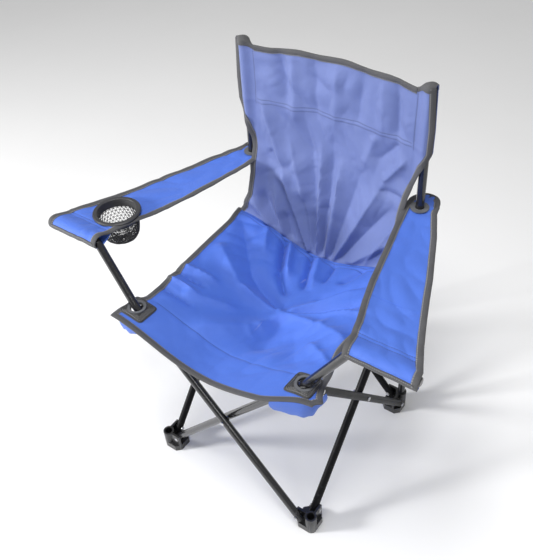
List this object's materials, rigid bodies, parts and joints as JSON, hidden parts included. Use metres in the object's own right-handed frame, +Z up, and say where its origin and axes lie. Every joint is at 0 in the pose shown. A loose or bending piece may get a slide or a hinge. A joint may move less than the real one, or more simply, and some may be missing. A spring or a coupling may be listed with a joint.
{
  "type": "folding camp chair",
  "caption": "Folding camp chair: black tube scissor frame, blue fabric seat, back and armrests, with a net cup holder in the sitter's right armrest.",
  "frame": {"origin": "on the floor under the middle of the open chair's overall length and width", "axes": "+Z up, the chair faces -Y, +X is the sitter's left"},
  "size_m": [0.768, 0.484, 0.818],
  "materials": {
    "tube": "gloss black powder coat",
    "moulding": "moulded black nylon",
    "plug": "black plug",
    "rivet": "zinc-plated steel",
    "seat_cloth": "woven blue polyester",
    "back_cloth": "woven blue polyester",
    "webbing": "black woven webbing",
    "grommet": "dark grey moulded ring",
    "cup_ring": "black moulded ring",
    "net": "black polyester net"
  },
  "bodies": {
    "left_rear_leg": {"left_back_post": "tube", "left_back_post_cap": "plug", "left_back_foot": "moulding", "left_back_foot_rivets": "rivet", "back_panel": "back_cloth", "left_back_sleeve": "back_cloth", "left_arm_grommet": "grommet"},
    "right_rear_leg": {"right_back_post": "tube", "right_back_post_cap": "plug", "right_back_foot": "moulding", "right_back_foot_rivets": "rivet", "right_back_sleeve": "back_cloth", "right_arm_grommet": "grommet"},
    "inner_back_brace": {"back_brace_inner": "tube", "back_crossing_rivet": "rivet"},
    "outer_back_brace": {"back_brace_outer": "tube"},
    "left_slider": {"left_back_slider": "moulding", "left_back_top_rivets": "rivet", "left_rear_tie": "webbing"},
    "right_slider": {"right_back_slider": "moulding", "right_back_top_rivets": "rivet", "right_rear_tie": "webbing"},
    "outer_left_brace": {"left_side_brace_outer": "tube", "left_crossing_rivet": "rivet"},
    "inner_left_brace": {"left_side_brace_inner": "tube"},
    "outer_right_brace": {"right_side_brace_outer": "tube", "right_crossing_rivet": "rivet"},
    "inner_right_brace": {"right_side_brace_inner": "tube"},
    "left_front_leg_foot": {"left_front_foot": "moulding", "left_front_foot_rivets": "rivet"},
    "right_front_leg_foot": {"right_front_foot": "moulding", "right_front_foot_rivets": "rivet"},
    "left_corner": {"left_front_bracket": "moulding", "left_front_top_rivets": "rivet", "left_corner_flap": "seat_cloth"},
    "right_corner": {"right_front_bracket": "moulding", "right_front_top_rivets": "rivet", "right_corner_flap": "seat_cloth"},
    "right_arm": {"right_arm_tube": "tube", "right_arm_cap": "plug", "right_arm_sleeve": "seat_cloth", "right_seat_patch": "webbing", "right_seat_grommet": "grommet", "front_crossing_rivet": "rivet"},
    "left_arm": {"left_arm_tube": "tube", "left_arm_cap": "plug", "left_arm_sleeve": "seat_cloth", "left_seat_patch": "webbing", "left_seat_grommet": "grommet"},
    "left_seat": {"left_seat_half": "seat_cloth"},
    "right_seat": {"right_seat_half": "seat_cloth"},
    "left_rest": {"left_armrest": "seat_cloth", "left_arm_strap": "seat_cloth"},
    "right_rest": {"right_armrest": "seat_cloth", "right_arm_strap": "seat_cloth", "cup_ring": "cup_ring", "cup_net": "net"}
  },
  "joints": [
    {"name": "fold", "type": "hinge", "parent": "left_rear_leg", "child": "inner_back_brace", "pos_m": [0.1665, 0.184, 0.036], "axis": [0, 1, 0], "range_deg": [0, 33], "deforming": ["back_panel", "left_seat_half", "right_seat_half", "left_armrest", "right_armrest", "left_arm_strap", "right_arm_strap"]},
    {"name": "back_scissor", "type": "hinge", "parent": "inner_back_brace", "child": "outer_back_brace", "pos_m": [0, 0.1925, 0.2305], "axis": [0, 1, 0], "range_deg": [-66, 0]},
    {"name": "left_slider_pivot", "type": "hinge", "parent": "outer_back_brace", "child": "left_slider", "pos_m": [0.1665, 0.201, 0.425], "axis": [0, 1, 0], "range_deg": [0, 33]},
    {"name": "right_foot_pivot", "type": "hinge", "parent": "outer_back_brace", "child": "right_rear_leg", "pos_m": [-0.1665, 0.201, 0.036], "axis": [0, 1, 0], "range_deg": [0, 33]},
    {"name": "right_slider_pivot", "type": "hinge", "parent": "inner_back_brace", "child": "right_slider", "pos_m": [-0.1665, 0.184, 0.425], "axis": [0, 1, 0], "range_deg": [-33, 0]},
    {"name": "left_side_fold", "type": "hinge", "parent": "left_rear_leg", "child": "outer_left_brace", "pos_m": [0.201, 0.1665, 0.036], "axis": [1, 0, 0], "range_deg": [-33, 0]},
    {"name": "left_side_scissor", "type": "hinge", "parent": "outer_left_brace", "child": "inner_left_brace", "pos_m": [0.1925, 0, 0.2305], "axis": [1, 0, 0], "range_deg": [0, 66]},
    {"name": "left_front_foot_pivot", "type": "hinge", "parent": "inner_left_brace", "child": "left_front_leg_foot", "pos_m": [0.184, -0.1665, 0.036], "axis": [1, 0, 0], "range_deg": [-33, 0]},
    {"name": "left_corner_pivot", "type": "hinge", "parent": "outer_left_brace", "child": "left_corner", "pos_m": [0.201, -0.1665, 0.425], "axis": [1, 0, 0], "range_deg": [0, 33]},
    {"name": "right_side_fold", "type": "hinge", "parent": "right_rear_leg", "child": "outer_right_brace", "pos_m": [-0.201, 0.1665, 0.036], "axis": [1, 0, 0], "range_deg": [-33, 0]},
    {"name": "right_side_scissor", "type": "hinge", "parent": "outer_right_brace", "child": "inner_right_brace", "pos_m": [-0.1925, 0, 0.2305], "axis": [1, 0, 0], "range_deg": [0, 66]},
    {"name": "right_front_foot_pivot", "type": "hinge", "parent": "inner_right_brace", "child": "right_front_leg_foot", "pos_m": [-0.184, -0.1665, 0.036], "axis": [1, 0, 0], "range_deg": [-33, 0]},
    {"name": "right_corner_pivot", "type": "hinge", "parent": "outer_right_brace", "child": "right_corner", "pos_m": [-0.201, -0.1665, 0.425], "axis": [1, 0, 0], "range_deg": [0, 33]},
    {"name": "front_fold", "type": "hinge", "parent": "left_front_leg_foot", "child": "right_arm", "pos_m": [0.1665, -0.201, 0.036], "axis": [0, 1, 0], "range_deg": [0, 33]},
    {"name": "front_scissor", "type": "hinge", "parent": "right_arm", "child": "left_arm", "pos_m": [0, -0.1925, 0.2305], "axis": [0, 1, 0], "range_deg": [-66, 0]},
    {"name": "left_seat_fold", "type": "hinge", "parent": "left_slider", "child": "left_seat", "pos_m": [0.205, 0, 0.446], "axis": [0, 1, 0], "range_deg": [-56.3, 0]},
    {"name": "right_seat_fold", "type": "hinge", "parent": "right_slider", "child": "right_seat", "pos_m": [-0.205, 0, 0.446], "axis": [0, 1, 0], "range_deg": [0, 56.3]},
    {"name": "left_rest_fold", "type": "hinge", "parent": "left_arm", "child": "left_rest", "pos_m": [0.315, -0.174, 0.569], "axis": [1, 0, 0], "range_deg": [-51.48, 0]},
    {"name": "right_rest_fold", "type": "hinge", "parent": "right_arm", "child": "right_rest", "pos_m": [-0.315, -0.191, 0.569], "axis": [1, 0, 0], "range_deg": [-47.52, 0]}
  ],
  "couplings": [
    {"joint": "back_scissor", "follows": "fold", "ratio": -2},
    {"joint": "left_slider_pivot", "follows": "fold", "ratio": 1},
    {"joint": "right_foot_pivot", "follows": "fold", "ratio": 1},
    {"joint": "right_slider_pivot", "follows": "fold", "ratio": -1},
    {"joint": "left_side_fold", "follows": "fold", "ratio": -1},
    {"joint": "left_side_scissor", "follows": "fold", "ratio": 2},
    {"joint": "left_front_foot_pivot", "follows": "fold", "ratio": -1},
    {"joint": "left_corner_pivot", "follows": "fold", "ratio": 1},
    {"joint": "right_side_fold", "follows": "fold", "ratio": -1},
    {"joint": "right_side_scissor", "follows": "fold", "ratio": 2},
    {"joint": "right_front_foot_pivot", "follows": "fold", "ratio": -1},
    {"joint": "right_corner_pivot", "follows": "fold", "ratio": 1},
    {"joint": "front_fold", "follows": "fold", "ratio": 1},
    {"joint": "front_scissor", "follows": "fold", "ratio": -2},
    {"joint": "left_seat_fold", "follows": "fold", "ratio": -1.706},
    {"joint": "right_seat_fold", "follows": "fold", "ratio": 1.706},
    {"joint": "left_rest_fold", "follows": "fold", "ratio": -1.56},
    {"joint": "right_rest_fold", "follows": "fold", "ratio": -1.44}
  ]
}
